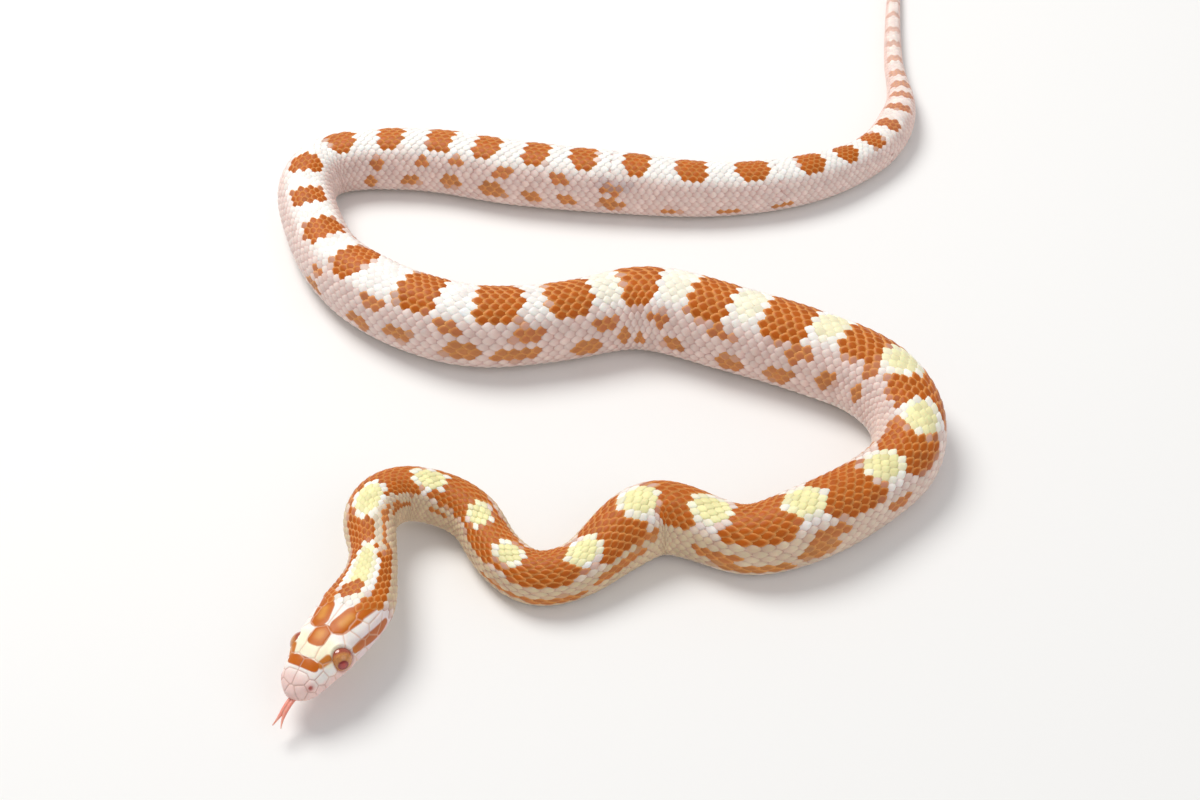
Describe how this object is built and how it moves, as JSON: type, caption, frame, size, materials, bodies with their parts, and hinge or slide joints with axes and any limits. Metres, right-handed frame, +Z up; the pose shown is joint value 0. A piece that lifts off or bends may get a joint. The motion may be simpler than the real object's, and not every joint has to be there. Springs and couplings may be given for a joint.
{
  "type": "corn snake",
  "caption": "Young corn snake lying in loose S bends, pale with orange saddles, head low and forked tongue out.",
  "frame": {"origin": "on the surface it lies on, under the middle of its outline", "axes": "+X to the viewer's right, +Y away from the viewer along the longer side, +Z up"},
  "size_m": [0.1556, 0.2646, 0.0167],
  "materials": {
    "scales_orange": "satin",
    "scales_pale": "satin",
    "eye": "gloss",
    "tongue": "satin"
  },
  "bodies": {
    "root": {"head": "scales_orange", "lower_jaw": "scales_pale", "eye_left": "eye", "eye_right": "eye", "tongue": "tongue", "neck": "scales_pale", "body_length_1": "scales_pale", "body_length_2": "scales_pale", "body_length_3": "scales_pale", "body_length_4": "scales_pale", "body_length_5": "scales_pale", "body_length_6": "scales_pale", "body_length_7": "scales_pale", "body_length_8": "scales_pale", "body_length_9": "scales_pale", "body_length_10": "scales_pale", "tail_length_1": "scales_pale", "tail_length_2": "scales_pale"}
  },
  "joints": []
}
